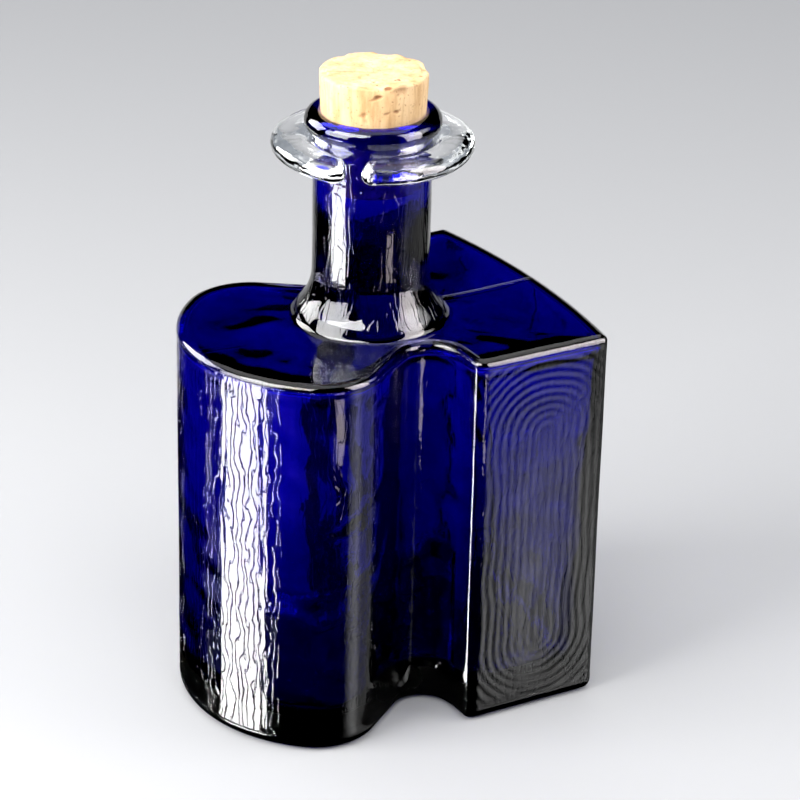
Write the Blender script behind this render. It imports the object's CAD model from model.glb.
from math import acos, asin, atan2, copysign, cos, hypot, pi, radians, sin, sqrt

import bpy
import numpy as np
from mathutils import Matrix, Vector, noise


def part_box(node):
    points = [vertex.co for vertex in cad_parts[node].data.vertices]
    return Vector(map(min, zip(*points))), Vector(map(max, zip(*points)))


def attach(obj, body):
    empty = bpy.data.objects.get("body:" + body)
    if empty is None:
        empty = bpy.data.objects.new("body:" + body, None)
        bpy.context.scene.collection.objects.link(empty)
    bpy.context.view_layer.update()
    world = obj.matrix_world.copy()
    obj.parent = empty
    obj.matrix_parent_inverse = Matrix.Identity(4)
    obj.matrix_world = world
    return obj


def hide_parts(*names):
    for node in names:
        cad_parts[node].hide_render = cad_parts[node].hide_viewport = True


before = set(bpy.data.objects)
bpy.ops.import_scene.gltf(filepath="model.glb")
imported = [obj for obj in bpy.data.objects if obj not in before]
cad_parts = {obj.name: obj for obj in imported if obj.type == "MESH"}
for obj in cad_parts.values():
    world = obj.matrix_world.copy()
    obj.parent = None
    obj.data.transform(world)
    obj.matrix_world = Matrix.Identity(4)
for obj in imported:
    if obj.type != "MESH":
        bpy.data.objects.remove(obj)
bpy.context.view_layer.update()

# A cobalt glass decanter bottle, its clear glass collar ring and its cork, in a small studio.
# Lengths are in millimetres and are turned into metres where a mesh, light or camera is made.
# Only the camera's clipping and the depths of bumps are in metres as they stand, and densities
# and the scales of a material's noise are per metre unless said. The angles of the camera, the
# boxes and the outline's stretches are in degrees.

MM = 0.001


def box_mm(node):
    low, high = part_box(node)
    return [v / MM for v in low], [v / MM for v in high]


_, bottle_high = box_mm("glass_bottle")
ring_low, ring_high = box_mm("collar_ring")
cork_low, cork_high = box_mm("cork_stopper")

# -------- camera

CAMERA_AT = (-345.7, -592.6, 402.3)
CAMERA_YAW = 30.88
CAMERA_PITCH = 25.71
CAMERA_ROLL = 1.30
CAMERA_LENS = 145.7
SENSOR_WIDTH = 36.0
CLIP_NEAR, CLIP_FAR = 0.01, 20.0


def make_camera():
    yaw, pitch, roll = (radians(v) for v in (CAMERA_YAW, CAMERA_PITCH, CAMERA_ROLL))
    level = cos(pitch)
    ahead = Vector((sin(yaw) * level, cos(yaw) * level, -sin(pitch)))
    right = Vector((cos(yaw), -sin(yaw), 0))
    up = right.cross(ahead)
    tilted_right = right * cos(roll) + up * sin(roll)
    tilted_up = up * cos(roll) - right * sin(roll)
    data = bpy.data.cameras.new("camera")
    data.lens = CAMERA_LENS
    data.sensor_width = SENSOR_WIDTH
    data.clip_start, data.clip_end = CLIP_NEAR, CLIP_FAR
    camera = bpy.data.objects.new("camera", data)
    turn = Matrix((tilted_right, tilted_up, -ahead)).transposed().to_4x4()
    camera.matrix_world = Matrix.Translation(Vector(CAMERA_AT) * MM) @ turn
    bpy.context.collection.objects.link(camera)
    bpy.context.scene.camera = camera


make_camera()

# -------- sizes of the bottle

HALF_LENGTH = bottle_high[0]
BODY_HEIGHT = 94.3
LOBE = (-22.6, 16.05)
LOBE_RADIUS = 15.7
WAIST = (0.75, 27.0)
WAIST_RADIUS = 6.8
PANEL_INNER_Y = 35.85
PANEL_OUTER = (42.5, 36.7)
OUTER_CORNER_RADIUS = 1.9
WAIST_CORNER_RADIUS = 3.0
SHOULDER_DROP = 1.6
SHOULDER_WIDTH = 2.2
SHARPEST = 0.3
HEEL_RADIUS = 3.0

FOOT_OUTER_RADIUS = 19.3
FOOT_RADIUS = 17.6
FOOT_RISE = 2.3
NECK_RADIUS = 13.65
FLARE_RADIUS = 13.0
LIP_SECTION = 2.57
LIP_CENTRE_R = 13.15
LIP_TOP = bottle_high[2]
LIP_Z = LIP_TOP - LIP_SECTION
BORE_RADIUS = 9.0
SEAT_RADIUS = 11.87
SEAT_FOOT = 125.5
SEAT_FOOT_DROP = 18.0
MOUTH_ROUNDING = 0.9
DISH_RADIUS = 14.5
DISH_DEPTH = 1.4

CORK_TOP_RADIUS = cork_high[0]
CORK_TOP = cork_high[2]
CORK_BOTTOM = cork_low[2]
CORK_TAPER = 0.05
SEAT_CLEARANCE = 0.05
SEAT_Z = CORK_TOP - (CORK_TOP_RADIUS + SEAT_CLEARANCE - SEAT_RADIUS) / CORK_TAPER

# -------- outline from above

# the stretches of half the outline, from the flat end to the round lobe's tip, and how many
# points each has
STRETCHES = (
    "end", "outer_corner", "panel", "waist_corner", "flank", "waist", "run", "lobe", "tip",
)
FINE = dict(zip(STRETCHES, (18, 7, 58, 11, 7, 22, 14, 38, 44)))
MEDIUM = dict(zip(STRETCHES, (16, 5, 20, 7, 4, 14, 9, 20, 18)))
COARSE = dict(zip(STRETCHES, (10, 5, 14, 5, 4, 10, 7, 15, 10)))


def outline(inset, corners, counts):
    """The closed outline drawn inset from the bottle's, as an array of points, counter-clockwise
    from the middle of the flat end; corners are the radii of the panels' outer and waist
    corners. Every call with the same counts gives matching points."""
    corner, waist_corner = corners
    lobe_r = LOBE_RADIUS - inset
    waist_r = WAIST_RADIUS + inset
    reach = HALF_LENGTH - inset + LOBE[0]
    tip_r = (LOBE[1] ** 2 + reach**2 - lobe_r**2) / (2 * (reach - lobe_r))
    tip_x = tip_r - HALF_LENGTH + inset
    outer = np.array((PANEL_OUTER[0] - inset, PANEL_OUTER[1] - inset))
    flank_x = WAIST[0] + waist_r
    inner = np.array((flank_x, PANEL_INNER_Y - inset))
    bulge = HALF_LENGTH - PANEL_OUTER[0]
    end_r = (outer[1] ** 2 + bulge**2) / (2 * bulge)
    end_x = HALF_LENGTH - inset - end_r

    along = (inner - outer) / np.linalg.norm(inner - outer)
    inward = np.array((-along[1], along[0]))
    inward = inward if inward[1] < 0 else -inward
    # centre of the outer corner's rounding, tangent to the panel and inside the end arc
    offset = outer + inward * corner - np.array((end_x, 0.0))
    ahead = float(offset @ along)
    spare = float(offset @ offset) - (end_r - corner) ** 2
    back = -ahead - sqrt(ahead * ahead - spare)
    outer_centre = outer + inward * corner + along * back
    slope = (outer[1] - inner[1]) / (outer[0] - inner[0])
    waist_x = flank_x + waist_corner
    waist_y = inner[1] + slope * (waist_x - inner[0]) - waist_corner * hypot(1, slope)
    waist_centre = np.array((waist_x, waist_y))

    def arc(centre, radius, first, last, count):
        turn = np.linspace(first, last, count, endpoint=False)
        return np.stack([centre[0] + radius * np.cos(turn), centre[1] + radius * np.sin(turn)], 1)

    def line(first, last, count):
        share = np.linspace(0, 1, count, endpoint=False)[:, None]
        return np.asarray(first) * (1 - share) + np.asarray(last) * share

    outer_turn = atan2(outer_centre[1], outer_centre[0] - end_x)
    panel_turn = atan2(-inward[1], -inward[0])
    gap = hypot(WAIST[0] - LOBE[0], WAIST[1] - LOBE[1])
    lean = atan2(WAIST[1] - LOBE[1], WAIST[0] - LOBE[0])
    leave = lean + acos((lobe_r + waist_r) / gap)
    tip_turn = atan2(LOBE[1], LOBE[0] - tip_x)
    toward = np.array((cos(leave), sin(leave)))
    half = np.concatenate([
        arc((end_x, 0), end_r, 0, outer_turn, counts["end"]),
        arc(outer_centre, corner, outer_turn, panel_turn, counts["outer_corner"]),
        line(outer_centre - inward * corner, waist_centre - inward * waist_corner,
             counts["panel"]),
        arc(waist_centre, waist_corner, panel_turn, pi, counts["waist_corner"]),
        line((flank_x, waist_centre[1]), (flank_x, WAIST[1]), counts["flank"]),
        arc(WAIST, waist_r, 0, leave - pi, counts["waist"]),
        line(np.array(WAIST) - toward * waist_r, np.array(LOBE) + toward * lobe_r, counts["run"]),
        arc(LOBE, lobe_r, leave, tip_turn, counts["lobe"]),
        arc((tip_x, 0), tip_r, tip_turn, pi, counts["tip"]),
        np.array([(inset - HALF_LENGTH, 0.0)]),
    ])
    mirrored = half[-2:0:-1] * (1, -1)
    return np.concatenate([half, mirrored])


def bottle_outline(inset, counts):
    """The outline inset from the outside wall, its corners tighter by as much."""
    radii = (OUTER_CORNER_RADIUS - inset, WAIST_CORNER_RADIUS - inset)
    return outline(inset, [max(radius, SHARPEST) for radius in radii], counts)


# where each stretch of the outline meets the neck's circle, in degrees round the neck
STRETCH_TURNS = dict(zip(STRETCHES, (34, 37, 60, 65, 69, 96, 112, 150, 180)))


def circle_turns(counts):
    """The angle round the neck that matches each outline point."""
    turns = []
    before = 0.0
    for name, after in STRETCH_TURNS.items():
        turns.extend(np.linspace(before, after, counts[name], endpoint=False))
        before = after
    half = np.radians(np.array(turns + [180.0]))
    return np.concatenate([half, 2 * pi - half[-2:0:-1]])


def circle(radius, counts):
    turns = circle_turns(counts)
    return np.stack([radius * np.cos(turns), radius * np.sin(turns)], 1)


def ring_at(points, height):
    heights = np.full(len(points), float(height)) if np.isscalar(height) else height
    return np.column_stack([points, heights])


def smooth(share):
    """0 to 1 as share goes from 0 to 1, level at both ends."""
    return 3 * share**2 - 2 * share**3


def ease(count):
    """Shares from 0 to 1, closer together at both ends."""
    return smooth(np.linspace(0, 1, count))


def quarter(count):
    return np.linspace(0, pi / 2, count)


def rising(values, start, span, least=0):
    """least where values are at start or lower, 1 from start + span on."""
    return np.clip((values - start) / span, least, 1)


def falling(values, start, span, least=0):
    """least where values are at start or higher, 1 from start - span down."""
    return np.clip((start - values) / span, least, 1)


# -------- mesh tools


def mesh_object(name, verts_mm, faces):
    mesh = bpy.data.meshes.new(name)
    mesh.from_pydata([tuple(v) for v in np.asarray(verts_mm) * MM], [], faces)
    mesh.update()
    mesh.shade_smooth()
    obj = bpy.data.objects.new(name, mesh)
    bpy.context.collection.objects.link(obj)
    return obj


class Skin:
    """A closed surface built from rings, each joined to the one before. Rings with the same
    counts join point to point; others are stitched by their places round the neck."""

    def __init__(self):
        self.verts = []
        self.faces = []
        self.lines = []
        self.around = []
        self.total = 0
        self.last = None
        self.last_counts = None

    def put(self, points, around, lines):
        ids = np.arange(self.total, self.total + len(points))
        self.total += len(points)
        self.verts.append(np.asarray(points, float))
        self.around.append(np.asarray(around, float) * np.ones(len(points)))
        self.lines.append(np.asarray(lines, float) * np.ones(len(points)))
        return ids

    def pole(self, point):
        return int(self.put([point], 0.0, 0.0)[0])

    def add(self, ring, counts, around=0.0, lines=0.0):
        ids = self.put(ring, around, lines)
        if self.last is not None:
            if counts is self.last_counts:
                before, after = np.roll(self.last, -1), np.roll(ids, -1)
                quads = zip(self.last.tolist(), before.tolist(), after.tolist(), ids.tolist())
                self.faces.extend(quads)
            else:
                self.stitch(self.last, circle_turns(self.last_counts), ids, circle_turns(counts))
        self.last, self.last_counts = ids, counts

    def stitch(self, first, first_turns, second, second_turns):
        a = np.append(first_turns, 2 * pi)
        b = np.append(second_turns, 2 * pi)
        i = j = 0
        while i < len(first) or j < len(second):
            p, q = int(first[i % len(first)]), int(second[j % len(second)])
            if j == len(second) or (i < len(first) and a[i + 1] <= b[j + 1]):
                i += 1
                self.faces.append((p, int(first[i % len(first)]), q))
            else:
                j += 1
                self.faces.append((p, int(second[j % len(second)]), q))

    def cap(self, pole_id, opening):
        for p, q in zip(self.last.tolist(), np.roll(self.last, -1).tolist()):
            self.faces.append((q, p, pole_id) if opening else (p, q, pole_id))

    def points(self):
        return np.concatenate(self.verts)


# how far apart the noise of one seed and the next lie
SEED_STEP = (17.3, 5.1, 9.7)


def field(points, scale, seed, stretch=(1, 1, 1)):
    """Smooth noise from -1 to 1 at each point; scale is the size of its blobs in millimetres."""
    factors = np.array(stretch) / scale
    moved = np.asarray(points) * factors + seed * np.array(SEED_STEP)
    return np.array([noise.noise(Vector(p)) for p in moved])


def layers(points, rows, onto=0.0):
    """Layers of noise added to onto; a row is a strength and then what field() takes."""
    return sum((strength * field(points, *how) for strength, *how in rows), onto)


def peaks(points, level, *how):
    """How far the noise rises above a level, and 0 where it stays below."""
    return np.clip(field(points, *how) - level, 0, 1)


# -------- the bottle

# how many rows of points each part of the bottle's skin has, in the order they are laid
ROWS = {
    "dish": 7, "rest": 6, "heel": 8, "wall_low": 35, "wall_middle": 46, "wall_high": 38,
    "shoulder_edge": 10, "shoulder": 22, "foot": 6, "flare": 14, "neck": 22, "lip": 16,
    "mouth": 7, "seat": 4, "bore": 26, "throat": 7, "ceiling": 20, "inner_edge": 5,
    "inner_wall": 50, "inner_heel": 7,
}
SMALLEST_DISH_SHARE = 0.12
# between these heights the wall's rows lie further apart
WALL_MIDDLE = (20.0, 74.0)

# In the values below a layer of noise is a strength in millimetres and then what field()
# takes, pits are what peaks() takes after the points, and a fade is what rising() or
# falling() takes after the values.

# the flat panels: fades beside the waist (y), from the waist (x) and before the end (x)
PANEL_BESIDE = (34.8, 0.8)
PANEL_START = (8.6, 1.5)
PANEL_END = (42.6, 1.2)
# the chill rings on each panel: middle (x, z), half width and half height, rounding
RINGS_MIDDLE = (26.5, 46.0)
RINGS_HALF = (16.2, 43.0)
RINGS_ROUNDING = 16.0
RINGS_APART = 2.1
RINGS_HEIGHT = 0.030
RINGS_WANDER = [(0.9, 11.0, 3), (0.25, 4.0, 4)]
# their strength at the rim, how far in it would fall by 1, its least, and its gain low down
RINGS_AT_RIM = 1.25
RINGS_FALL = 18.0
RINGS_LEAST = 0.3
RINGS_LOW_GAIN = 0.7
# two dents in each panel: middle (x, z), half width and half height, depth
WELL_MIDDLE = (28.0, 25.0)
WELL_HALF = (6.5, 15.0)
WELL_DEPTH = 0.17
WELL_RIPPLE = 0.03
WELL_RIPPLE_RATE = 5.0
DENT_MIDDLE = (27.0, 52.0)
DENT_HALF = (7.0, 12.0)
DENT_DEPTH = 0.09

# waves in the outside of the wall; they only ever go inwards
WAVES_FADE = 2.0
WAVES_SINK = 0.10
SLOW_WAVES = [(0.12, 24.0, 1)]
DIMPLES = [(0.020, 3.2, 2)]
RIPPLES_APART = 2.7
RIPPLE_WANDER = [(1.3, 7.0, 21, (1, 0.5, 1)), (0.4, 2.6, 22)]
RIPPLE_HEIGHT = 0.020
RIPPLE_USUAL, RIPPLE_LEAST, RIPPLE_MOST = 0.65, 0.15, 1.3
RIPPLE_CHANGE = [(0.9, 12.0, 23)]
LOST_ON_PANEL = 0.9
# the round lobe's tip, by the distance from it: ripples and pits are stronger there
TIP_FADE = (28.0, 3.0)
RIPPLE_OFF_TIP, RIPPLE_TIP_GAIN = 0.6, 1.6
TIP_PIT_DEPTH = 0.05
TIP_PITS = (0.25, 4.5, 27)
# the fine cooling lines of the material, by the distance from the tip: faint on the tip
# itself, full beside it, all but gone further round
LINES_NEAR_TIP = (4.0, 4.0, 0.25)
LINES_MIDDLE = 8.0
LINES_BEYOND = (27.0, 3.0, 0.10)
FLARE_LINES, NECK_LINES = 0.3, 0.2

SHOULDER_SINK = 0.22
SHOULDER_WAVES = [(0.22, 15.0, 5)]
SHOULDER_RINGS_APART = 2.6
SHOULDER_RINGS_HEIGHT = 0.03
SHOULDER_RINGS_WANDER = [(1.0, 9.0, 24)]
NECK_SINK = 0.04
NECK_WAVES = [(0.06, 9.0, 6)]

# the inside; pairs are at its top and at its floor
INNER_TOP = BODY_HEIGHT - 2.3
INNER_FLOOR = 5.2
INNER_WALL = (1.4, 3.6)
INNER_CORNER = (2.4, 9.0)
INNER_SHARPEST = 0.6
INNER_EDGE = 1.3
INNER_HEEL = 9.0
THROAT = 5.0
THINNEST = 1.0
FLOOR_CROWN = 1.2
FLOOR_SHARES = (0.75, 0.5, 0.25, 0.08)
BORE_WAVES = [(0.45, 8.0, 7)]
CEILING_WAVES = [(0.8, 11.0, 8), (0.4, 4.5, 28), (0.22, 2.2, 29)]
INNER_WAVES = [(1.0, 17.0, 9), (0.7, 6.0, 25), (0.3, 3.0, 26)]
# how much thicker the shoulder is halfway between the neck and its edge
SHOULDER_EXTRA = 1.5
# the glass is thicker behind the grooves: how much, and where the middle of it lies
GROOVE_EXTRA = 2.6
GROOVE_Y = 17.0
GROOVE_REACH = 9.0
# and behind the flat panels: how much, and its fade beside the waist (y)
PANEL_EXTRA = 1.4
PANEL_EXTRA_FADE = (27.0, 4.0)


def arc_length(ring):
    """Length round the outline from the middle of the flat end, the same on both sides."""
    steps = np.linalg.norm(np.roll(ring, -1, 0)[:, :2] - ring[:, :2], axis=1)
    ahead = np.concatenate([[0.0], np.cumsum(steps)[:-1]])
    return np.minimum(ahead, steps.sum() - ahead)


def ring_normals(ring):
    """Outward horizontal normals of a counter-clockwise ring."""
    ahead = np.roll(ring, -1, 0) - np.roll(ring, 1, 0)
    normal = np.column_stack([ahead[:, 1], -ahead[:, 0], np.zeros(len(ring))])
    return normal / np.linalg.norm(normal, axis=1)[:, None]


def panel_share(points):
    """1 on a flat panel, 0 elsewhere on the wall."""
    beside = rising(np.abs(points[:, 1]), *PANEL_BESIDE)
    along = rising(points[:, 0], *PANEL_START) * falling(points[:, 0], *PANEL_END)
    return beside * along


def from_middle(points, middle, half):
    """How far points on a panel are from the middle of a dent, 1 at its rim."""
    return np.hypot((points[:, 0] - middle[0]) / half[0], (points[:, 2] - middle[1]) / half[1])


def panel_rings(points):
    """Height of the rings and dents that the cooling glass left on each flat panel."""
    across = np.abs(points[:, 0] - RINGS_MIDDLE[0]) - RINGS_HALF[0] + RINGS_ROUNDING
    upward = np.abs(points[:, 2] - RINGS_MIDDLE[1]) - RINGS_HALF[1] + RINGS_ROUNDING
    corner = np.hypot(np.maximum(across, 0), np.maximum(upward, 0))
    depth = RINGS_ROUNDING - corner - np.minimum(np.maximum(across, upward), 0)
    depth = layers(points, RINGS_WANDER, depth)
    low_down = falling(points[:, 2], RINGS_MIDDLE[1], RINGS_HALF[1])
    strength = np.clip(RINGS_AT_RIM - depth / RINGS_FALL, RINGS_LEAST, 1)
    strength = strength * (1 + RINGS_LOW_GAIN * low_down)
    height = RINGS_HEIGHT * np.sin(2 * pi * depth / RINGS_APART) * strength
    well = from_middle(points, WELL_MIDDLE, WELL_HALF)
    ripple = WELL_RIPPLE * np.sin(WELL_RIPPLE_RATE * well) * np.exp(-(well**2))
    height -= WELL_DEPTH * np.exp(-(well**4)) - ripple
    dent = from_middle(points, DENT_MIDDLE, DENT_HALF)
    return height - DENT_DEPTH * np.exp(-(dent**4))


def add_waves(points, normals, around):
    """Moves the outside of the body in along its normals: slow waves, cooling ripples, rings."""
    up = points[:, 2]
    fade = rising(up, HEEL_RADIUS, WAVES_FADE)
    fade *= falling(up, BODY_HEIGHT - SHOULDER_DROP, WAVES_FADE)
    place = np.column_stack([around, up, np.zeros(len(up))])
    wander = layers(place, RIPPLE_WANDER)
    ripples = np.sin(2 * pi * (around + wander) / RIPPLES_APART)
    change = layers(place, RIPPLE_CHANGE, RIPPLE_USUAL)
    ripples *= RIPPLE_HEIGHT * np.clip(change, RIPPLE_LEAST, RIPPLE_MOST)
    on_tip = falling(around.max() - around, *TIP_FADE)
    ripples *= RIPPLE_OFF_TIP + RIPPLE_TIP_GAIN * on_tip
    dimples = layers(points, DIMPLES) + TIP_PIT_DEPTH * on_tip * peaks(place, *TIP_PITS)
    flat = panel_share(points)
    amount = layers(points, SLOW_WAVES) + (ripples + dimples) * (1 - LOST_ON_PANEL * flat)
    amount = amount + panel_rings(points) * flat
    inward = np.minimum(amount - WAVES_SINK, 0.0)
    return points + normals * (fade * inward)[:, None]


def between(pair, height):
    """The value at a height of the inside, from a pair at its top and at its floor."""
    down = falling(height, INNER_TOP, INNER_TOP - INNER_FLOOR)
    return pair[0] + (pair[1] - pair[0]) * down


def inner_ring(height, extra=0.0):
    """A level ring of the inside wall; the glass is thicker low down and in the corners."""
    corner = max(between(INNER_CORNER, height) - extra, INNER_SHARPEST)
    return outline(between(INNER_WALL, height) + extra, (corner, corner), COARSE)


def add_underside(skin):
    """The push-up, the rest face and the rounded heel."""
    under = skin.pole((0, 0, DISH_DEPTH))
    dish_r = (DISH_RADIUS**2 + DISH_DEPTH**2) / (2 * DISH_DEPTH)
    shares = np.linspace(SMALLEST_DISH_SHARE, 1.0, ROWS["dish"])
    for share in shares:
        radius = DISH_RADIUS * share
        height = DISH_DEPTH - dish_r + sqrt(dish_r**2 - radius**2)
        skin.add(ring_at(circle(radius, MEDIUM), height), MEDIUM)
        if share == shares[0]:
            skin.cap(under, True)
    rest_rim = bottle_outline(HEEL_RADIUS, MEDIUM)
    dish_rim = circle(DISH_RADIUS, MEDIUM)
    for share in ease(ROWS["rest"])[1:]:
        skin.add(ring_at(dish_rim * (1 - share) + rest_rim * share, 0.0), MEDIUM)
    for turn in quarter(ROWS["heel"])[1:]:
        ring = bottle_outline(HEEL_RADIUS * (1 - sin(turn)), FINE)
        skin.add(ring_at(ring, HEEL_RADIUS * (1 - cos(turn))), FINE)


def wall_heights(top):
    """Levels up the wall, closer near its foot and its top, where the panels' rings run level."""
    low = np.linspace(HEEL_RADIUS, WALL_MIDDLE[0], ROWS["wall_low"])
    middle = np.linspace(*WALL_MIDDLE, ROWS["wall_middle"])
    high = np.linspace(WALL_MIDDLE[1], top, ROWS["wall_high"])
    return np.concatenate([low, middle[1:], high[1:]])


def add_wall(skin):
    """The outer wall up to the shoulder's rounded edge."""
    top = BODY_HEIGHT - SHOULDER_DROP
    points = bottle_outline(0.0, FINE)
    around = arc_length(points)
    from_tip = around.max() - around
    near_tip = rising(from_tip, *LINES_NEAR_TIP)
    beyond = falling(from_tip, *LINES_BEYOND)
    line_share = np.where(from_tip < LINES_MIDDLE, near_tip, beyond)
    for height in wall_heights(top)[1:]:
        ring = ring_at(points, height)
        waved = add_waves(ring, ring_normals(ring), around)
        skin.add(waved, FINE, around, line_share)
    for turn in quarter(ROWS["shoulder_edge"])[1:]:
        ring = bottle_outline(SHOULDER_WIDTH * (1 - cos(turn)), FINE)
        skin.add(ring_at(ring, top + SHOULDER_DROP * sin(turn)), FINE)


def add_shoulder(skin):
    """The shoulder, very slightly dished and faintly ringed round the neck."""
    rim = bottle_outline(SHOULDER_WIDTH, MEDIUM)
    foot = circle(FOOT_OUTER_RADIUS, MEDIUM)
    for share in ease(ROWS["shoulder"])[1:-1]:
        ring = ring_at(rim * (1 - share) + foot * share, BODY_HEIGHT)
        away = np.linalg.norm(ring[:, :2], axis=1) - FOOT_OUTER_RADIUS
        away = layers(ring, SHOULDER_RINGS_WANDER, away)
        sink = layers(ring, SHOULDER_WAVES) - SHOULDER_SINK
        rings = SHOULDER_RINGS_HEIGHT * np.sin(2 * pi * away / SHOULDER_RINGS_APART)
        ring[:, 2] += (sink + rings) * 4 * share * (1 - share)
        skin.add(ring, MEDIUM)


def add_neck(skin):
    """The foot, flare, straight neck and rolled lip."""
    def level(radius, height, lines=0.0):
        ring = ring_at(circle(radius, MEDIUM), height)
        around = circle_turns(MEDIUM) * NECK_RADIUS
        skin.add(ring, MEDIUM, np.minimum(around, around[-1] - around), lines)

    foot_width = FOOT_OUTER_RADIUS - FOOT_RADIUS
    blend = (foot_width**2 + FOOT_RISE**2) / (2 * FOOT_RISE)
    for turn in np.linspace(0, asin(foot_width / blend), ROWS["foot"]):
        radius = FOOT_OUTER_RADIUS - blend * sin(turn)
        level(radius, BODY_HEIGHT + blend * (1 - cos(turn)))
    foot_z = BODY_HEIGHT + FOOT_RISE
    flare_start = acos((NECK_RADIUS + FLARE_RADIUS - FOOT_RADIUS) / FLARE_RADIUS)
    flare_top = foot_z + FLARE_RADIUS * sin(flare_start)
    for turn in np.linspace(flare_start, 0, ROWS["flare"])[1:]:
        radius = NECK_RADIUS + FLARE_RADIUS * (1 - cos(turn))
        level(radius, flare_top - FLARE_RADIUS * sin(turn), FLARE_LINES)
    lip_start = -acos((NECK_RADIUS - LIP_CENTRE_R) / LIP_SECTION)
    lip_under = LIP_Z + LIP_SECTION * sin(lip_start)
    for height in np.linspace(flare_top, lip_under, ROWS["neck"])[1:]:
        level(NECK_RADIUS, height, NECK_LINES)
        ring = skin.verts[-1]
        ring += ring_normals(ring) * (layers(ring, NECK_WAVES) - NECK_SINK)[:, None]
    for turn in np.linspace(lip_start, pi / 2, ROWS["lip"])[1:]:
        level(LIP_CENTRE_R + LIP_SECTION * cos(turn), LIP_Z + LIP_SECTION * sin(turn))


def add_bore(skin):
    """The rounded mouth, the cork's seat, the bore and the throat."""
    def level(radius, height):
        skin.add(ring_at(circle(radius, COARSE), height), COARSE)

    mouth_r = SEAT_RADIUS + (LIP_TOP - SEAT_Z) * CORK_TAPER
    for turn in quarter(ROWS["mouth"])[1:]:
        radius = mouth_r + MOUTH_ROUNDING * (1 - sin(turn))
        level(radius, LIP_TOP - MOUTH_ROUNDING * (1 - cos(turn)))
    for height in np.linspace(LIP_TOP - MOUTH_ROUNDING, SEAT_Z, ROWS["seat"])[1:]:
        level(SEAT_RADIUS + (height - SEAT_Z) * CORK_TAPER, height)
    for height in np.linspace(SEAT_Z, INNER_TOP + THROAT, ROWS["bore"])[1:]:
        drop = falling(height, SEAT_FOOT, SEAT_FOOT_DROP)
        radius = SEAT_RADIUS + (BORE_RADIUS - SEAT_RADIUS) * smooth(drop)
        ring = ring_at(circle(radius, COARSE), height)
        ring += ring_normals(ring) * drop * layers(ring, BORE_WAVES)[:, None]
        skin.add(ring, COARSE)
    for turn in quarter(ROWS["throat"])[1:]:
        radius = BORE_RADIUS + THROAT * (1 - cos(turn))
        level(radius, INNER_TOP + THROAT * (1 - sin(turn)))


def wall_unevenness(ring, height):
    """How far each point of a ring of the inside wall moves outwards, or inwards below 0. The
    glass is left at least THINNEST thick."""
    uneven = layers(ring, INNER_WAVES)
    from_groove = np.hypot(ring[:, 0] - WAIST[0], np.abs(ring[:, 1]) - GROOVE_Y)
    uneven -= GROOVE_EXTRA * np.exp(-((from_groove / GROOVE_REACH) ** 2))
    uneven -= PANEL_EXTRA * rising(np.abs(ring[:, 1]), *PANEL_EXTRA_FADE)
    return np.minimum(uneven, between(INNER_WALL, height) - THINNEST)


def add_inside(skin):
    """The inside of the shoulder, wall and floor, with the uneven thickness of blown glass."""
    rim = inner_ring(INNER_TOP, INNER_EDGE)
    throat = circle(BORE_RADIUS + THROAT, COARSE)
    for share in ease(ROWS["ceiling"])[1:-1]:
        ring = ring_at(throat * (1 - share) + rim * share, INNER_TOP)
        uneven = layers(ring, CEILING_WAVES)
        ring[:, 2] += (uneven - SHOULDER_EXTRA) * 4 * share * (1 - share)
        skin.add(ring, COARSE)
    for turn in quarter(ROWS["inner_edge"]):
        ring = inner_ring(INNER_TOP, INNER_EDGE * (1 - sin(turn)))
        height = INNER_TOP - INNER_EDGE * (1 - cos(turn))
        skin.add(ring_at(ring, height), COARSE)
    heel_top = INNER_FLOOR + INNER_HEEL
    for height in np.linspace(INNER_TOP - INNER_EDGE, heel_top, ROWS["inner_wall"])[1:]:
        ring = ring_at(inner_ring(height), height)
        uneven = wall_unevenness(ring, height)
        skin.add(ring + ring_normals(ring) * uneven[:, None], COARSE)
    for turn in quarter(ROWS["inner_heel"])[1:]:
        ring = inner_ring(heel_top, INNER_HEEL * (1 - cos(turn)))
        height = INNER_FLOOR + INNER_HEEL * (1 - sin(turn))
        skin.add(ring_at(ring, height), COARSE)
    floor_rim = inner_ring(heel_top, INNER_HEEL)
    for share in FLOOR_SHARES:
        height = INNER_FLOOR + FLOOR_CROWN * (1 - share)
        skin.add(ring_at(floor_rim * share, height), COARSE)
    skin.cap(skin.pole((0, 0, INNER_FLOOR + FLOOR_CROWN)), False)


def store(mesh, name, values):
    """Keeps one number per point on the mesh, for the materials to read."""
    attribute = mesh.attributes.new(name, "FLOAT", "POINT")
    attribute.data.foreach_set("value", np.asarray(values, np.float32))


def make_bottle():
    skin = Skin()
    add_underside(skin)
    add_wall(skin)
    add_shoulder(skin)
    add_neck(skin)
    add_bore(skin)
    add_inside(skin)
    bottle = mesh_object("bottle_glass", skin.points(), skin.faces)
    store(bottle.data, "around", np.concatenate(skin.around))
    store(bottle.data, "lines", np.concatenate(skin.lines))
    return bottle


# -------- the collar ring

RING_Z = (ring_low[2] + ring_high[2]) / 2
RING_RADIUS = ring_high[0]
RING_HALF = (ring_high[2] - ring_low[2]) / 2
GAP_TURN = radians(-132.0)
GAP_HALF_MM = 2.1
TRAIL_STEPS = 420
SECTION_POINTS = 44
# closer steps at the trail's two ends: how many, and over what length
START_STEPS, START_RUN = 12, 4.0
TAIL_STEPS, TAIL_RUN = 16, 6.0
# lengths over which the ends are rounded off, and over which their root leaves the neck, and
# by how much it does
START_ROUND, TAIL_ROUND = 2.6, 4.5
START_LIFT, TAIL_LIFT = 5.0, 7.0
END_LIFT = 3.4
# the ends lie further out, and are flatter and thinner
END_OUT = 0.8
END_WIDTH = 0.30
END_THINNEST = 0.05
# how far the trail sinks into the neck, and how far it stays inside the CAD ring's faces
TRAIL_SINK = 0.04
TRAIL_INSET = 0.25
TRAIL_MARGIN = 0.12
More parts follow.
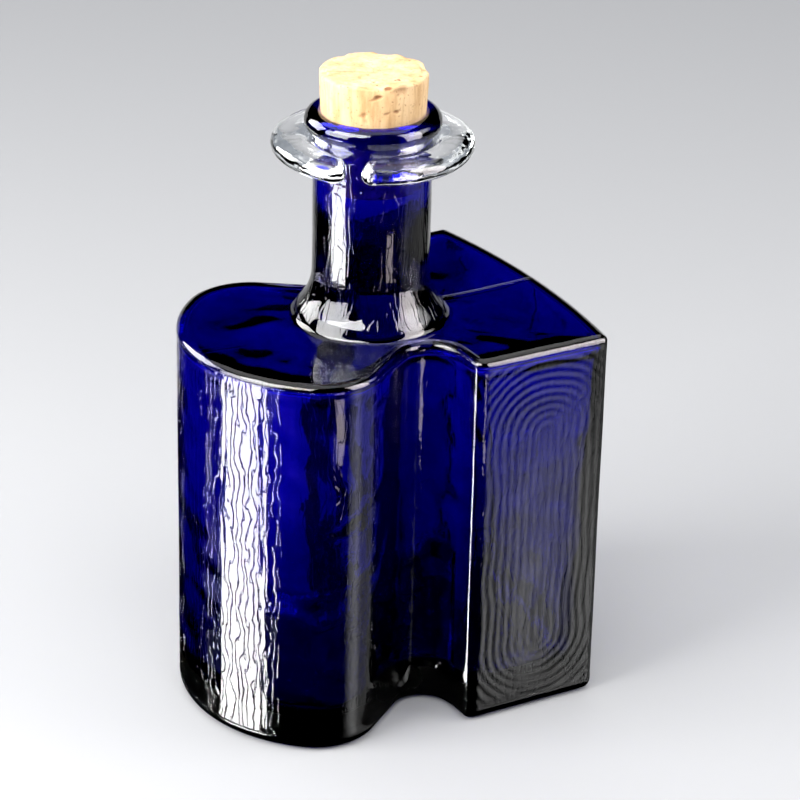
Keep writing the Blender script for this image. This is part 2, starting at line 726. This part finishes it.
# waves round the trail: height, how many times round, shift in radians
OUTER_WAVES = [(0.12, 2, 0.6), (0.08, 5, 2.0)]
TALL_USUAL = 0.94
TALL_WAVES = [(0.05, 3, 1)]
# the tail hangs lower and the start sits higher: how much, and over what length
TAIL_DROP = (-0.55, 12.0)
START_RISE = (0.20, 10.0)
DROP_THINNING = 0.5
# the section is a rounded box, fuller on its outer side
OUTWARD_POWER, UPWARD_POWER = 0.85, 0.9
CROWN_GAIN, CROWN_SCALE = 0.14, 1.10


def rounded(distance, reach):
    """0 at a rounded end and 1 from reach on, along a quarter of a circle."""
    return sqrt(max(1 - (1 - min(distance / reach, 1.0)) ** 2, 0.0))


def wave_sum(rows, turn):
    return sum(height * sin(times * turn + shift) for height, times, shift in rows)


def fade_out(strength, reach, distance):
    return strength * max(0.0, 1 - distance / reach)


def signed_power(value, power):
    return copysign(abs(value) ** power, value)


def trail_section(run, length):
    """The points of the trail's section at a distance along it."""
    turn = GAP_TURN + (GAP_HALF_MM + run) / RING_RADIUS
    left = length - run
    start = rounded(run, START_ROUND)
    tail = rounded(left, TAIL_ROUND)
    outer = RING_RADIUS - TRAIL_INSET + wave_sum(OUTER_WAVES, turn)
    near_end = 1 - min(min(run, START_LIFT) / START_LIFT, min(left, TAIL_LIFT) / TAIL_LIFT)
    root = NECK_RADIUS - TRAIL_SINK + near_end**2 * END_LIFT
    centre = (root + outer) / 2 + (1 - start * tail) * END_OUT
    wide = (outer - root) / 2 * (END_WIDTH + (1 - END_WIDTH) * start * tail)
    wide = wide * max(start, END_THINNEST) * max(tail, END_THINNEST)
    half = (RING_HALF - TRAIL_MARGIN) * (TALL_USUAL + wave_sum(TALL_WAVES, turn)) * start * tail
    drop = fade_out(*TAIL_DROP, left) + fade_out(*START_RISE, run)
    half -= abs(drop) * DROP_THINNING * start * tail
    rows = []
    for way in np.linspace(0, 2 * pi, SECTION_POINTS, endpoint=False):
        outward, upward = cos(way), sin(way)
        radius = centre + wide * signed_power(outward, OUTWARD_POWER)
        crown = 1.0 + CROWN_GAIN * outward
        rise = half / CROWN_SCALE * crown * signed_power(upward, UPWARD_POWER)
        rows.append((radius * cos(turn), radius * sin(turn), RING_Z + rise + drop))
    return rows


def make_collar():
    """One trail of clear glass laid round the neck. It starts as a fat rounded end, runs round
    and is drawn out to a thinner tail that stops short of the start."""
    length = 2 * pi * RING_RADIUS - 2 * GAP_HALF_MM
    ease_in = np.linspace(0, 1, START_STEPS) ** 2 * START_RUN
    middle = np.linspace(START_RUN, length - TAIL_RUN, TRAIL_STEPS)[1:]
    ease_out = length - np.linspace(1, 0, TAIL_STEPS) ** 2 * TAIL_RUN
    runs = np.concatenate([ease_in[1:], middle, ease_out[1:-1]])
    points = np.concatenate([trail_section(run, length) for run in runs])
    faces = []
    for i in range(len(runs) - 1):
        for j in range(SECTION_POINTS):
            here, there = i * SECTION_POINTS, (i + 1) * SECTION_POINTS
            after = (j + 1) % SECTION_POINTS
            faces.append((here + j, there + j, there + after, here + after))
    first_cap = points[:SECTION_POINTS].mean(0)
    last_cap = points[-SECTION_POINTS:].mean(0)
    points = np.vstack([points, first_cap, last_cap])
    last_row = (len(runs) - 1) * SECTION_POINTS
    for j in range(SECTION_POINTS):
        after = (j + 1) % SECTION_POINTS
        faces.append((j, after, len(points) - 2))
        faces.append((last_row + after, last_row + j, len(points) - 1))
    return mesh_object("collar_trail", points, faces)


# -------- the cork

CORK_SEGMENTS = 220
CORK_ROWS = {"bottom": 8, "low_edge": 4, "side": 90, "top_edge": 5, "top": 34}
SMALLEST_BOTTOM_SHARE, SMALLEST_TOP_SHARE = 0.05, 0.03
BOTTOM_INSET = 1.9
LOW_EDGE = 0.6
TOP_EDGE = 0.7
# the side shows above the lip and outside a radius; both are fades
ABOVE_LIP = (0.6, 1.0)
OUT_FROM = (10.5, 1.0)
# noise on the side: what field() takes, and for pits and wear first the level they start from
SIDE_GRAIN = (1.2, 11, (1, 1, 0.2))
SIDE_PITS = (0.46, 2.4, 13, (1, 1, 1.8))
SIDE_WEAR = (-0.12, 4.5, 14)
PIT_GAIN, WEAR_GAIN = 3.0, 1.5
WORN_REACH = 2.2
# one side of the cork has most of the pits: the way to it and the fade along that way
PITTED_WAY = (0.858, -0.513)
PITTED_FADE = (-5.0, 8.0, 0.1)
# a chip in the front of the top edge
CHIP_AT = (0.2, -12.3, CORK_TOP - 0.9)
CHIP_LEAN = 0.6
CHIP_HALF = (1.9, 1.2)
CHIP_REACH = 8.0
# how deep each goes into the side, and wear also down from the top
GRAIN_DEPTH, PIT_DEPTH, CHIP_DEPTH, WEAR_DROP = 0.10, 0.6, 0.5, 0.6
# the top: where it starts below the highest point, pores and roughness
TOP_BELOW, TOP_FADE = 0.4, 0.3
TOP_PORES = (0.42, 1.3, 15)
PORE_GAIN = 2.0
TOP_GRAIN = (1.0, 16)
TOP_HUMPS = (0.0, 6.0, 17)
TOP_GRAIN_DEPTH, TOP_HUMPS_DEPTH, PORE_DEPTH, LINE_DEPTH = 0.06, 0.45, 0.5, 0.30
# the growth line across the top: the way across it, how far off the middle, half its width,
# and its fade along the line
LINE_WAY = (0.513, 0.858)
LINE_OFFSET = -1.2
LINE_HALF = 0.30
LINE_FADE = (1.0, 1.0)
# how dark each looks in the material
PIT_DARK, CHIP_DARK, PORE_DARK, LINE_DARK = 2.0, 0.6, 0.8, 0.8


def cork_rows():
    """Radius and height of each row of points, from the bottom's middle to the top's middle."""
    low_r = CORK_TOP_RADIUS - CORK_TAPER * (CORK_TOP - CORK_BOTTOM)
    bottom_r = low_r - LOW_EDGE
    rows = []
    for share in np.linspace(SMALLEST_BOTTOM_SHARE, 1, CORK_ROWS["bottom"]):
        rows.append((min((CORK_TOP_RADIUS - BOTTOM_INSET) * share, bottom_r), CORK_BOTTOM))
    for turn in quarter(CORK_ROWS["low_edge"]):
        radius = low_r - LOW_EDGE * (1 - sin(turn))
        rows.append((radius, CORK_BOTTOM + LOW_EDGE * (1 - cos(turn))))
    side_low, side_high = CORK_BOTTOM + LOW_EDGE, CORK_TOP - TOP_EDGE
    for height in np.linspace(side_low, side_high, CORK_ROWS["side"])[1:]:
        rows.append((low_r + CORK_TAPER * (height - CORK_BOTTOM), height))
    for turn in quarter(CORK_ROWS["top_edge"])[1:]:
        radius = CORK_TOP_RADIUS - TOP_EDGE * (1 - cos(turn))
        rows.append((radius, CORK_TOP - TOP_EDGE * (1 - sin(turn))))
    for share in np.linspace(1, SMALLEST_TOP_SHARE, CORK_ROWS["top"])[1:]:
        rows.append(((CORK_TOP_RADIUS - TOP_EDGE) * share, CORK_TOP))
    return rows


def make_cork():
    """A tapered cork with a worn top edge, pits, and a growth line across its top."""
    turns = np.linspace(0, 2 * pi, CORK_SEGMENTS, endpoint=False)
    unit = np.stack([np.cos(turns), np.sin(turns)], 1)
    skin = Skin()
    low_pole = skin.pole((0, 0, CORK_BOTTOM))
    for i, (radius, height) in enumerate(cork_rows()):
        skin.add(ring_at(unit * radius, height), None)
        if i == 0:
            skin.cap(low_pole, True)
    skin.cap(skin.pole((0, 0, CORK_TOP)), False)
    points = skin.points()
    radial = points * (1, 1, 0)
    radius = np.linalg.norm(radial, axis=1)
    radial = radial / np.maximum(radius, 1e-6)[:, None]
    up = points[:, 2]
    # wear, pits and grain on the side, only above the lip, where the cork shows
    shows = rising(up - LIP_TOP, *ABOVE_LIP)
    side = rising(radius, *OUT_FROM)
    grain = np.abs(field(points, *SIDE_GRAIN))
    pits = peaks(points, *SIDE_PITS) * PIT_GAIN
    to_pitted = points[:, 0] * PITTED_WAY[0] + points[:, 1] * PITTED_WAY[1]
    pits *= rising(to_pitted, *PITTED_FADE)
    near_top = rising(up, CORK_TOP - WORN_REACH, WORN_REACH)
    worn = near_top**2 * peaks(points, *SIDE_WEAR) * WEAR_GAIN
    from_chip = points - np.array(CHIP_AT)
    beside_chip = np.abs(from_chip[:, 0] - CHIP_LEAN * from_chip[:, 1]) / CHIP_HALF[0]
    above_chip = from_chip[:, 2] / CHIP_HALF[1]
    chip = np.exp(-(beside_chip**2 + above_chip**2))
    chip *= (np.abs(from_chip[:, 1]) < CHIP_REACH) * side
    depth = GRAIN_DEPTH * grain + PIT_DEPTH * pits + worn + CHIP_DEPTH * chip
    points = points - radial * (shows * side * depth)[:, None]
    # top: gentle unevenness, small pores and a straight growth line
    on_top = rising(up, CORK_TOP - TOP_BELOW, TOP_FADE)
    across = points[:, 0] * LINE_WAY[0] + points[:, 1] * LINE_WAY[1]
    along = points[:, 0] * LINE_WAY[1] - points[:, 1] * LINE_WAY[0]
    line = np.exp(-(((across - LINE_OFFSET) / LINE_HALF) ** 2)) * falling(along, *LINE_FADE)
    pores = peaks(points, *TOP_PORES) * PORE_GAIN
    rough = TOP_GRAIN_DEPTH * np.abs(field(points, *TOP_GRAIN))
    rough += TOP_HUMPS_DEPTH * peaks(points, *TOP_HUMPS)
    points[:, 2] -= on_top * (rough + PORE_DEPTH * pores + LINE_DEPTH * line)
    points[:, 2] -= worn * shows * side * WEAR_DROP
    cork = mesh_object("cork_body", points, skin.faces)
    dark = shows * side * (pits * PIT_DARK + chip * CHIP_DARK)
    dark += on_top * (pores * PORE_DARK + line * LINE_DARK)
    store(cork.data, "pit", np.clip(dark, 0, 1))
    return cork


# -------- materials


def new_material(name):
    material = bpy.data.materials.new(name)
    material.use_nodes = True
    nodes, links = material.node_tree.nodes, material.node_tree.links
    nodes.clear()
    output = nodes.new("ShaderNodeOutputMaterial")
    shader = nodes.new("ShaderNodeBsdfPrincipled")
    links.new(shader.outputs["BSDF"], output.inputs["Surface"])
    return material, nodes, links, shader, output


def set_inputs(node, values):
    for name, value in values.items():
        node.inputs[name].default_value = value


def attribute_value(nodes, name):
    node = nodes.new("ShaderNodeAttribute")
    node.attribute_name = name
    return node.outputs["Fac"]


def math_node(nodes, links, operation, first, second=None):
    node = nodes.new("ShaderNodeMath")
    node.operation = operation
    for socket, value in zip(node.inputs, (first, second)):
        if value is None:
            continue
        if isinstance(value, (int, float)):
            socket.default_value = value
        else:
            links.new(value, socket)
    return node.outputs["Value"]


def noise_value(nodes, links, vector, scale, detail):
    node = nodes.new("ShaderNodeTexNoise")
    set_inputs(node, {"Scale": scale, "Detail": detail})
    links.new(vector, node.inputs["Vector"])
    return node.outputs["Fac"]


def bump_node(nodes, links, height, distance, strength=1.0):
    bump = nodes.new("ShaderNodeBump")
    set_inputs(bump, {"Strength": strength, "Distance": distance})
    links.new(height, bump.inputs["Height"])
    return bump


def plain_material(name, colour, roughness):
    material, _, _, shader, _ = new_material(name)
    set_inputs(shader, {"Base Color": (*colour, 1), "Roughness": roughness})
    return material


def smooth_range(nodes, links, value, first, last):
    """A smooth step from 0 where the value is first to 1 where it is last."""
    step = nodes.new("ShaderNodeMapRange")
    step.interpolation_type = "SMOOTHSTEP"
    set_inputs(step, {"From Min": first, "From Max": last})
    links.new(value, step.inputs["Value"])
    return step.outputs["Result"]


def glass_material(name, tint, density):
    """Clear glass whose colour lies in its depth."""
    material, nodes, links, shader, output = new_material(name)
    set_inputs(shader, {"Base Color": (1, 1, 1, 1), "Roughness": 0.0})
    set_inputs(shader, {"IOR": GLASS_IOR, "Transmission Weight": 1.0})
    depth = nodes.new("ShaderNodeVolumeAbsorption")
    set_inputs(depth, {"Color": (*tint, 1), "Density": density})
    links.new(depth.outputs["Volume"], output.inputs["Volume"])
    return material, nodes, links, shader


GLASS_IOR = 1.5
COBALT_TINT = (0.12, 0.0, 0.845)
COBALT_DENSITY = 1700.0
CLEAR_TINT = (0.80, 0.93, 0.90)
CLEAR_DENSITY = 8.0
RIPPLE_SCALE, RIPPLE_BUMP = 260.0, 0.00012
# the cooling lines: how far apart, how far they wander, how fast that changes (per millimetre)
# and how much slower upwards
LINES_APART = 1.6
LINES_WANDER = 6.0
WANDER_SCALE = 0.28
WANDER_UPWARD = 0.45
VALLEY_SHARE = 0.55
LINE_BUMP = 0.000110
# the mould seam: fades out between these distances from it, and fainter to the round lobe
SEAM_OUTER, SEAM_INNER = 0.55, 0.15
SEAM_ABOVE_BODY = 0.3
SEAM_AT_LOBE = 0.25
SEAM_BUMP = 0.00010
SKIN_SCALE, SKIN_BUMP = 330.0, 0.00002


def cobalt_material():
    """Cobalt glass with fine wandering cooling lines down its walls and a mould seam."""
    material, nodes, links, shader = glass_material("cobalt_glass", COBALT_TINT, COBALT_DENSITY)

    def calc(operation, first, second=None):
        return math_node(nodes, links, operation, first, second)

    place = nodes.new("ShaderNodeTexCoord").outputs["Object"]
    split = nodes.new("ShaderNodeSeparateXYZ")
    links.new(place, split.inputs["Vector"])
    up_mm = calc("DIVIDE", split.outputs["Z"], MM)
    around_mm = attribute_value(nodes, "around")
    joined = nodes.new("ShaderNodeCombineXYZ")
    links.new(around_mm, joined.inputs["X"])
    links.new(calc("MULTIPLY", up_mm, WANDER_UPWARD), joined.inputs["Y"])
    wander = noise_value(nodes, links, joined.outputs["Vector"], WANDER_SCALE, 2.0)
    wander = calc("MULTIPLY", calc("SUBTRACT", wander, 0.5), LINES_WANDER)
    phase = calc("DIVIDE", calc("ADD", around_mm, wander), LINES_APART)
    crest = calc("ABSOLUTE", calc("SINE", calc("MULTIPLY", phase, pi)))
    valley = smooth_range(nodes, links, crest, 0.0, VALLEY_SHARE)
    lines = calc("MULTIPLY", valley, attribute_value(nodes, "lines"))
    line_bump = bump_node(nodes, links, lines, LINE_BUMP)
    # seam of the two mould halves, along the shoulder and down both ends
    off_seam = calc("ABSOLUTE", calc("DIVIDE", split.outputs["Y"], MM))
    seam = smooth_range(nodes, links, off_seam, SEAM_OUTER, SEAM_INNER)
    on_body = calc("LESS_THAN", up_mm, BODY_HEIGHT + SEAM_ABOVE_BODY)
    off_middle = calc("ABSOLUTE", calc("DIVIDE", split.outputs["X"], MM))
    beside_neck = calc("GREATER_THAN", off_middle, FOOT_OUTER_RADIUS)
    seam_height = calc("MULTIPLY", seam, calc("MULTIPLY", on_body, beside_neck))
    # the seam is sharper towards the flat end
    flat_end = calc("GREATER_THAN", split.outputs["X"], 0.0)
    sharper = calc("ADD", calc("MULTIPLY", flat_end, 1 - SEAM_AT_LOBE), SEAM_AT_LOBE)
    seam_bump = bump_node(nodes, links, calc("MULTIPLY", seam_height, sharper), SEAM_BUMP)
    links.new(line_bump.outputs["Normal"], seam_bump.inputs["Normal"])
    skin_noise = noise_value(nodes, links, place, SKIN_SCALE, 2.0)
    skin_bump = bump_node(nodes, links, skin_noise, SKIN_BUMP)
    links.new(seam_bump.outputs["Normal"], skin_bump.inputs["Normal"])
    links.new(skin_bump.outputs["Normal"], shader.inputs["Normal"])
    return material


def clear_material():
    """Clear glass with the soft ripples of a hand-laid trail."""
    material, nodes, links, shader = glass_material("clear_glass", CLEAR_TINT, CLEAR_DENSITY)
    place = nodes.new("ShaderNodeTexCoord").outputs["Object"]
    ripple_noise = noise_value(nodes, links, place, RIPPLE_SCALE, 1.0)
    ripple = bump_node(nodes, links, ripple_noise, RIPPLE_BUMP)
    links.new(ripple.outputs["Normal"], shader.inputs["Normal"])
    return material


def ramp_node(nodes, stops):
    ramp = nodes.new("ShaderNodeValToRGB")
    elements = ramp.color_ramp.elements
    while len(elements) < len(stops):
        elements.new(0.5)
    for element, (place, colour) in zip(elements, stops):
        element.position = place
        element.color = (*colour, 1)
    return ramp


def grey(value):
    return (value, value, value)


CORK_ROUGHNESS, CORK_SPECULAR = 0.82, 0.3
# noise in the cork: scale, detail and stretch
MOTTLE = (260.0, 7.0, (1, 1, 0.35))
STREAKS = (900.0, 3.0, (1, 1, 0.10))
SPECKS = (1500.0, 2.0, (1, 1, 1))
PORES = (420.0, 2.0, (0.8, 0.8, 1.7))
ROUGHNESS_NOISE = (1100.0, 4.0, (1, 1, 0.5))
CORK_BUMP, CORK_BUMP_STRENGTH = 0.00025, 0.6
# ramps over that noise: place and colour of each stop; a grey one says how much of a darker
# colour shows
MOTTLE_RAMP = [(0.30, (0.50, 0.29, 0.12)), (0.46, (0.66, 0.43, 0.21)), (0.70, (0.76, 0.55, 0.31))]
STREAK_RAMP = [(0.52, grey(0)), (0.70, grey(0.55))]
SPECK_RAMP = [(0.64, grey(0)), (0.70, grey(0.8))]
PORE_RAMP = [(0.705, grey(0)), (0.74, grey(1))]
STREAK_COLOUR = (0.42, 0.22, 0.08)
SPECK_COLOUR = (0.40, 0.20, 0.08)
PORE_COLOUR = (0.16, 0.055, 0.02)
PIT_COLOUR = (0.22, 0.09, 0.03)


def cork_material():
    """Natural cork: pale tan with fine upright grain, a few dark pores and a growth line."""
    material, nodes, links, shader, _ = new_material("cork")
    set_inputs(shader, {"Roughness": CORK_ROUGHNESS, "Specular IOR Level": CORK_SPECULAR})
    place = nodes.new("ShaderNodeTexCoord").outputs["Object"]

    def stretched(scale, detail, stretch):
        move = nodes.new("ShaderNodeMapping")
        move.inputs["Scale"].default_value = stretch
        links.new(place, move.inputs["Vector"])
        return noise_value(nodes, links, move.outputs["Vector"], scale, detail)

    def blend(factor, first, second):
        mix = nodes.new("ShaderNodeMix")
        mix.data_type = "RGBA"
        links.new(factor, mix.inputs["Factor"])
        links.new(first, mix.inputs["A"])
        mix.inputs["B"].default_value = (*second, 1)
        return mix.outputs["Result"]

    def ramped(how, stops):
        ramp = ramp_node(nodes, stops)
        links.new(stretched(*how), ramp.inputs["Fac"])
        return ramp.outputs["Color"]

    colour = ramped(MOTTLE, MOTTLE_RAMP)
    colour = blend(ramped(STREAKS, STREAK_RAMP), colour, STREAK_COLOUR)
    colour = blend(ramped(SPECKS, SPECK_RAMP), colour, SPECK_COLOUR)
    colour = blend(ramped(PORES, PORE_RAMP), colour, PORE_COLOUR)
    colour = blend(attribute_value(nodes, "pit"), colour, PIT_COLOUR)
    links.new(colour, shader.inputs["Base Color"])
    bump = bump_node(nodes, links, stretched(*ROUGHNESS_NOISE), CORK_BUMP, CORK_BUMP_STRENGTH)
    links.new(bump.outputs["Normal"], shader.inputs["Normal"])
    return material


# -------- pieces

bottle = make_bottle()
bottle.data.materials.append(cobalt_material())
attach(bottle, "bottle")
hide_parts("glass_bottle")

collar = make_collar()
collar.data.materials.append(clear_material())
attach(collar, "bottle")
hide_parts("collar_ring")

cork = make_cork()
cork.data.materials.append(cork_material())
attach(cork, "cork")
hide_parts("cork_stopper")

# -------- floor, lights and world

FLOOR_HALF = 2500.0
FLOOR_COLOUR = (0.34, 0.34, 0.345)
FLOOR_ROUGHNESS = 0.6
# the dark card: two opposite corners (x, y) and its height
CARD_LOW = (-10, -36)
CARD_HIGH = (7, -17)
CARD_Z = -0.2
CARD_COLOUR = (0.01, 0.01, 0.01)
CARD_ROUGHNESS = 0.9
WORLD_COLOUR = (0.85, 0.9, 1.0)
WORLD_STRENGTH = 0.45
# the boxes face a point on the bottle's axis: this high from above the floor and from below it
AIM_FROM_ABOVE, AIM_FROM_BELOW = 60.0, 50.0
# where a box that falls off has gone dark: the distance from its middle in its own widths
FALL_OFF_EDGE = 0.55
BOUNCES = 24


def level_card(name, low, high, height, material):
    """A flat level rectangle between two opposite corners."""
    places = [(low[0], low[1]), (high[0], low[1]), (high[0], high[1]), (low[0], high[1])]
    card = mesh_object(name, [(x, y, height) for x, y in places], [(0, 1, 2, 3)])
    card.data.materials.append(material)
    return card


def make_floor():
    floor_material = plain_material("pale_floor", FLOOR_COLOUR, FLOOR_ROUGHNESS)
    far, near = (FLOOR_HALF, FLOOR_HALF), (-FLOOR_HALF, -FLOOR_HALF)
    floor = level_card("floor", near, far, 0, floor_material)
    floor.visible_glossy = False


def make_groove_card():
    """A dark card flat under the front groove, seen only by reflections in the glass. It stops
    the boxes below the floor from showing in the foot of the groove."""
    card_material = plain_material("dark_card", CARD_COLOUR, CARD_ROUGHNESS)
    card = level_card("groove_card", CARD_LOW, CARD_HIGH, CARD_Z, card_material)
    card.visible_camera = False
    card.visible_diffuse = False
    card.visible_transmission = False
    card.visible_shadow = False


def dim_towards_edges(data, fall_off):
    """Dims an area light to nothing at its edges, from nearer its middle with more fall_off."""
    data.use_nodes = True
    nodes, links = data.node_tree.nodes, data.node_tree.links
    place = nodes.new("ShaderNodeNewGeometry")
    centred = nodes.new("ShaderNodeVectorMath")
    centred.operation = "SUBTRACT"
    centred.inputs[1].default_value = (0.5, 0.5, 0.0)
    links.new(place.outputs["Parametric"], centred.inputs[0])
    span = nodes.new("ShaderNodeVectorMath")
    span.operation = "LENGTH"
    links.new(centred.outputs["Vector"], span.inputs[0])
    bright_to = FALL_OFF_EDGE * (1 - fall_off)
    strength = smooth_range(nodes, links, span.outputs["Value"], FALL_OFF_EDGE, bright_to)
    links.new(strength, nodes["Emission"].inputs["Strength"])


def softbox(name, azimuth, elevation, distance, wide, tall, radiance,
            colour=(1, 1, 1), fall_off=0.0, lights_matt=True, shows_in_glass=True):
    """A rectangular light that faces the bottle. fall_off dims it towards its edges; without
    lights_matt it shows in the glass but adds nothing to the floor and the cork, and without
    shows_in_glass it does the opposite."""
    turn, rise = radians(azimuth), radians(elevation)
    aim = Vector((0, 0, AIM_FROM_ABOVE if elevation > 0 else AIM_FROM_BELOW))
    level = cos(rise)
    way = Vector((cos(turn) * level, sin(turn) * level, sin(rise)))
    data = bpy.data.lights.new(name, "AREA")
    data.shape = "RECTANGLE"
    data.size, data.size_y = wide * MM, tall * MM
    data.energy = radiance * pi * wide * tall * MM * MM
    data.color = colour
    if fall_off:
        dim_towards_edges(data, fall_off)
    light = bpy.data.objects.new(name, data)
    light.location = (aim + way * distance) * MM
    light.rotation_mode = "QUATERNION"
    light.rotation_quaternion = way.to_track_quat("Z", "Y")
    light.visible_camera = False
    light.visible_diffuse = lights_matt
    light.visible_glossy = shows_in_glass
    bpy.context.collection.objects.link(light)


def make_world():
    world = bpy.data.worlds.new("studio")
    world.use_nodes = True
    back = world.node_tree.nodes["Background"]
    set_inputs(back, {"Color": (*WORLD_COLOUR, 1), "Strength": WORLD_STRENGTH})
    world.cycles_visibility.glossy = False
    bpy.context.scene.world = world


make_floor()
make_groove_card()
make_world()
# The boxes below the floor stand for the mirror images of the ones above it, which a glossy
# table top would show in the upright walls.
softbox("left_box", 177, 28, 620, 470, 440, 14.0)
softbox("left_image", 173, -28, 620, 350, 300, 24.0)
softbox("right_box", -36, 30, 640, 620, 420, 6.0, fall_off=0.6)
softbox("right_image", -27, -26, 640, 620, 420, 0.42)
softbox("panel_image", -54, -29, 640, 320, 320, 1.6, fall_off=0.95)
softbox("top_box", 80, 76, 1300, 1600, 1600, 1.6)
softbox("front_box", -116, 58, 900, 620, 700, 4.6, shows_in_glass=False)
softbox("window_image", -84, -20.5, 640, 130, 84, 5.0, (1.0, 0.86, 0.82))
softbox("high_box", -167, 54, 800, 700, 360, 18.0, lights_matt=False)
softbox("edge_box", -50, 20, 800, 460, 1000, 11.0, (1.0, 0.92, 0.94), lights_matt=False)
softbox("rear_box", 125, 25, 800, 500, 500, 14.0, lights_matt=False)
softbox("back_image", 60, -6, 1000, 1500, 700, 0.6, lights_matt=False)

bpy.context.scene.view_settings.view_transform = "Standard"
bpy.context.scene.cycles.max_bounces = BOUNCES
bpy.context.scene.cycles.transmission_bounces = BOUNCES
